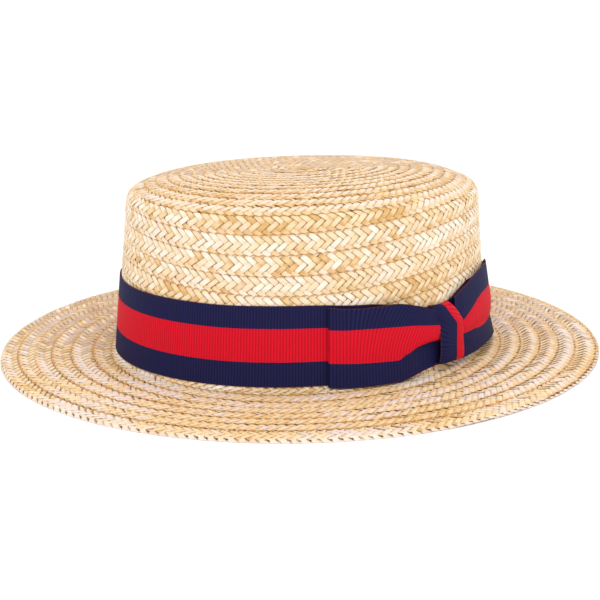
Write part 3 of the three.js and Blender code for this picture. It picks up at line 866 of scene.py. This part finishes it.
# bow: tables run from the knot to each loop's folded end, in millimetres along the band.
# low, redLow, redHigh and high are heights of the stripes' edges, each with its stand-off from the
# wall, and tuck is how far the lower stripe slides up behind the red one
bow = {
    "knotAngle": 27.5,
    "innerStand": 1.4,
    "innerDrop": 1.6,  # the hidden layer's upper edge lies this much lower
    "ribPitch": 1.6,
    "rowsAcross": (9, 10, 8),  # of the lower stripe, the red one and the upper one
    "overlap": 3.4, "lowerGap": 0.35, "redStart": 0.014,  # where the lower stripe slides behind the red one
    # three rows of the fold there: down from the red stripe's edge and up with the tuck, share of the way
    # to the red and out with the tuck, and across the ribbon with a share of the width that is hidden
    "foldDrop": (0.22, 0.1, 0), "foldRise": (3.8, 1.7, -0.1),
    "foldOut": (0, 0.5, 1), "foldStand": (0.35, 0, -0.5),
    "foldAcross": (0.01, 0.012, 0.013), "foldHidden": (0.2, 0.6, 0.97),
    # ribs lean within this distance of the knot, from a height on, over a rise, by at most a share
    "gatherLength": 62, "leanFrom": 14, "leanRise": 26, "leanMost": 1.2,
    "knotCover": 3,  # they run this far under the knot
    "front": {
        "side": -1, "arcRadius": 102.3, "lean": 1.2, "belly": 0.4,
        "along": (4, 8.9, 16.1, 24.1, 30, 35, 46.6, 54.4, 62, 69.7),
        "low": (5.2, 4.9, 4.3, 3.5, 2.7, 2.3, 2.2, 2.2, 2.3, 2.9),
        "redLow": (18.6, 18.9, 19.7, 18.8, 15.7, 13.7, 14.2, 14.6, 15.1, 15.6),
        "redHigh": (25.8, 26, 27.3, 28.6, 29.5, 30, 30.8, 31.2, 31.4, 31.9),
        "high": (32.0, 32.2, 33.2, 35.3, 37.3, 39.2, 42, 41.6, 42.1, 43.2),
        "tuck": (1, 1, 1, 0.75, 0.35, 0, 0, 0, 0, 0),
        "standLow": (1.7, 1.75, 2.2, 3.7, 5.0, 5.5, 5.4, 5.1, 4.6, 3.6),
        "standRedLow": (3.4, 4.2, 5.8, 5.9, 5.4, 5.0, 4.7, 4.5, 4.2, 3.6),
        "standRedHigh": (3.4, 4.2, 5.8, 5.9, 5.4, 5.0, 4.6, 4.4, 4.1, 3.6),
        "standHigh": (3.2, 3.9, 5.0, 5.0, 4.7, 4.5, 4.2, 4.1, 4.0, 3.6),
    },
    "back": {
        "side": 1, "arcRadius": 91, "lean": 0, "belly": 0.9,
        "along": (4, 10.3, 15.1, 19.9, 27.8, 35.7, 43.7, 51.6, 58.8, 69.5),
        "low": (5.4, 5.4, 5.5, 5.5, 6.0, 6.2, 6.2, 5.8, 4.9, 5.0),
        "redLow": (18.8, 18.7, 18.6, 18.4, 17.2, 16.8, 17.0, 16.5, 15.1, 15.2),
        "redHigh": (22.5, 25.9, 28.1, 30.1, 33.2, 34.4, 34.5, 34.2, 33.2, 33),
        "high": (39, 41.5, 42.8, 44.1, 45.7, 46.9, 47.0, 46.4, 45.2, 44.6),
        "tuck": (0, 0, 0, 0, 0, 0, 0, 0, 0, 0),
        "standLow": (4.4, 4.8, 4.9, 5.0, 5.1, 5.2, 5.25, 5.3, 5.3, 2.6),
        "standRedLow": (4.6, 5.0, 4.8, 4.5, 4.1, 3.9, 3.7, 3.5, 3.4, 2.5),
        "standRedHigh": (4.6, 5.0, 4.8, 4.5, 4.1, 3.9, 3.8, 3.6, 3.5, 2.5),
        "standHigh": (4.0, 3.8, 3.5, 3.2, 2.9, 2.6, 2.5, 2.4, 2.4, 2.3),
    },
}


def curveThrough(places, atPlaces, values):
    # a smooth curve through a table's values, level at its highs and lows
    at, value = np.array(atPlaces, dtype=float), np.array(values, dtype=float)
    span = np.diff(at)
    rate = np.diff(value) / span
    turn = rate[:-1] * rate[1:]
    middle = np.where(turn > 0, 2 * turn / np.where(turn > 0, rate[:-1] + rate[1:], 1), 0)
    slope = np.concatenate([rate[:1], middle, rate[-1:]])
    index = np.clip(np.searchsorted(at, places) - 1, 0, len(span) - 1)
    share = np.clip((places - at[index]) / span[index], 0, 1)
    lift = share * (1 - share) ** 2 * slope[index] - share ** 2 * (1 - share) * slope[index + 1]
    rise = (value[index + 1] - value[index]) * share ** 2 * (3 - 2 * share)
    return value[index] + rise + lift * span[index]


def loopSheet(name, node, form):
    knotAngle = math.radians(bow["knotAngle"])
    inner = bow["innerStand"]
    startAlong, endAlong = form["along"][0], form["along"][-1]
    turnRadius = (form["standLow"][-1] - inner) / 2
    straight = endAlong - turnRadius - startAlong
    turnLength = math.pi * turnRadius
    whole = 2 * straight + turnLength
    ribs = round(whole / bow["ribPitch"])
    path = np.linspace(0, whole, ribs * ribSections + 1)
    turn = np.clip((path - straight) / turnLength, 0, 1) * math.pi
    along = np.where(path < straight, startAlong + path,
                     np.where(path > straight + turnLength, startAlong + whole - path,
                              endAlong - turnRadius + turnRadius * np.sin(turn)))
    outer = (1 - np.cos(turn))[:, None] / 2  # 0 on the hidden layer, 1 on the one that shows

    def column(key):
        return curveThrough(along, form["along"], form[key])[:, None]

    low, redLow, redHigh = column("low"), column("redLow"), column("redHigh")
    high = column("high") - bow["innerDrop"] * (1 - outer)
    tuck = column("tuck") * (outer > 0.5)
    standLow, standRed, standRedHigh, standHigh = (
        inner + (column(key) - inner) * outer
        for key in ("standLow", "standRedLow", "standRedHigh", "standHigh"))

    def strip(start, end, share):
        # rows between two edges, which have a height, a stand-off and a place across
        return [first + (last - first) * share for first, last in zip(start, end)]

    # across: the lower stripe, a small fold where it slides behind the red one, then red and upper navy
    stripeLow, stripeHigh = ribbonLook["stripeLow"], ribbonLook["stripeHigh"]
    lowerShare, redShare, topShare = (np.linspace(0, 1, rows)[None, :] for rows in bow["rowsAcross"])
    redShare, topShare = redShare[:, 1:], topShare[:, 1:]
    behind = tuck * standLow + (1 - tuck) * standRed  # stand-off of the lower stripe's top
    hidden = np.clip(stripeHigh - stripeLow - (redHigh - redLow) / weave["width"], 0, 1) * tuck
    lowerTop = (redLow - bow["lowerGap"] + tuck * bow["overlap"], behind, stripeLow)
    fold = (redLow - bow["foldDrop"] + tuck * bow["foldRise"],
            behind + (standRed - behind) * bow["foldOut"] + tuck * bow["foldStand"],
            np.add(stripeLow, bow["foldAcross"]) + hidden * bow["foldHidden"])
    redTop = (redHigh, standRedHigh, stripeHigh)
    red = strip((redLow, standRed, stripeLow + bow["redStart"] + hidden), redTop, redShare)
    red[1] = red[1] + outer * form["belly"] * np.sin(math.pi * redShare)
    strips = [strip((low, standLow, 0 * low), lowerTop, lowerShare), fold, red,
              strip(redTop, (high, standHigh, 1 + 0 * low), topShare)]
    heights, stands, across = (np.concatenate(group, axis=1) for group in zip(*strips))

    # ribs lean towards the knot where the loop is gathered, more the higher they are
    gather = np.clip(1 - along / bow["gatherLength"], 0, 1)[:, None] * outer
    rise = np.clip((heights - bow["leanFrom"]) / bow["leanRise"], 0, bow["leanMost"])
    runs = along[:, None] - form["lean"] * bow["leanRise"] * gather * rise ** 2
    runs = np.maximum(runs, startAlong - bow["knotCover"])
    angles = knotAngle + form["side"] * runs / form["arcRadius"]
    grid = wallPoint(angles, heights, stands)
    piece = ribbonPiece(name, grid, across, False, -form["side"], ribbon)
    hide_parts(node)
    return piece


frontLoop = loopSheet("bow_front_ribbon", "bow_front_loop", bow["front"])
backLoop = loopSheet("bow_back_ribbon", "bow_back_loop", bow["back"])
print("bow loops made:", len(frontLoop.data.polygons) + len(backLoop.data.polygons), "faces")


# knot: rows from its lower end up over the bow, with angles of its left edge, colour line and right edge
knotForm = {
    "height": (6.5, 5.9, 6.6, 10, 16.3, 26.3, 32.3, 35.7, 36.7, 36.5),
    "stand": (2.0, 4.2, 6.3, 7.0, 7.2, 7.2, 6.7, 5.4, 3.6, 1.6),
    "left": (22.1, 22.1, 22.1, 22.2, 22.4, 22.3, 21.2, 20.6, 20.8, 21.0),
    "line": (28.3, 28.3, 28.3, 28.2, 28.2, 28.6, 26, 25, 24.7, 24.7),
    "right": (33.2, 33.2, 33.2, 32.8, 32.4, 32.6, 30.2, 28.8, 28.5, 28.5),
    "width": 17.6,  # that shows of the folded ribbon, laid flat
    "ribPitch": 1.4,
    "rows": (12, 6),  # across the navy and the red part
    "navyReach": 0.64,  # share of the knot's width that is navy
    "redStart": 0.001, "redShare": 0.15,  # of the ribbon's width that shows as red
    "skew": 18.7,  # from side to side, where the ribs run down to the right
    "skewFrom": 14, "skewRise": 8,  # above this height, fully after this rise
    "skewEnd": (2, 6),  # none over the first length from the upper end, changing over the second
    "curl": 1.5,  # of the sides towards the bow
}


def knotSheet(form):
    height, stand = np.array(form["height"]), np.array(form["stand"])
    steps = np.hypot(np.diff(height), np.diff(stand))
    path = np.concatenate([[0], np.cumsum(steps)])
    ribs = round(path[-1] / form["ribPitch"])
    run = np.linspace(0, path[-1], ribs * ribSections + 1)
    navyRows, redRows = form["rows"]
    navyPart = np.append(np.linspace(0, 1, navyRows), np.ones(redRows))
    redPart = np.append(np.zeros(navyRows - 1), np.linspace(0, 1, redRows + 1))
    reach = navyPart * form["navyReach"] + redPart * (1 - form["navyReach"])
    redAcross = form["redStart"] * (redPart > 0) + form["redShare"] * redPart
    across = navyPart * ribbonLook["stripeLow"] + redAcross
    rising = np.clip((np.interp(run, path, height) - form["skewFrom"]) / form["skewRise"], 0, 1)
    levelEnd, change = form["skewEnd"]
    middleRun = rising * np.clip((path[-1] - run - levelEnd) / change, 0, 1)
    skew = form["skew"] * middleRun[:, None] * (0.5 - reach[None, :])
    runs = np.clip(run[:, None] + skew, 0, path[-1])
    heights, stands, left, line, right = (np.interp(runs, path, form[key])
                                          for key in ("height", "stand", "left", "line", "right"))
    angles = np.radians(left + (line - left) * navyPart + (right - line) * redPart)
    fromMiddle = np.abs(2 * reach - 1)
    stands = stands - form["curl"] * fromMiddle[None, :] ** 4
    grid = wallPoint(angles, heights, stands)
    mapAcross = np.broadcast_to(across, heights.shape)
    piece = ribbonPiece("bow_knot_ribbon", grid, mapAcross, False, -1, ribbon)
    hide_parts("bow_knot")
    return piece


knot = knotSheet(knotForm)
print("knot made:", len(knot.data.polygons), "faces")
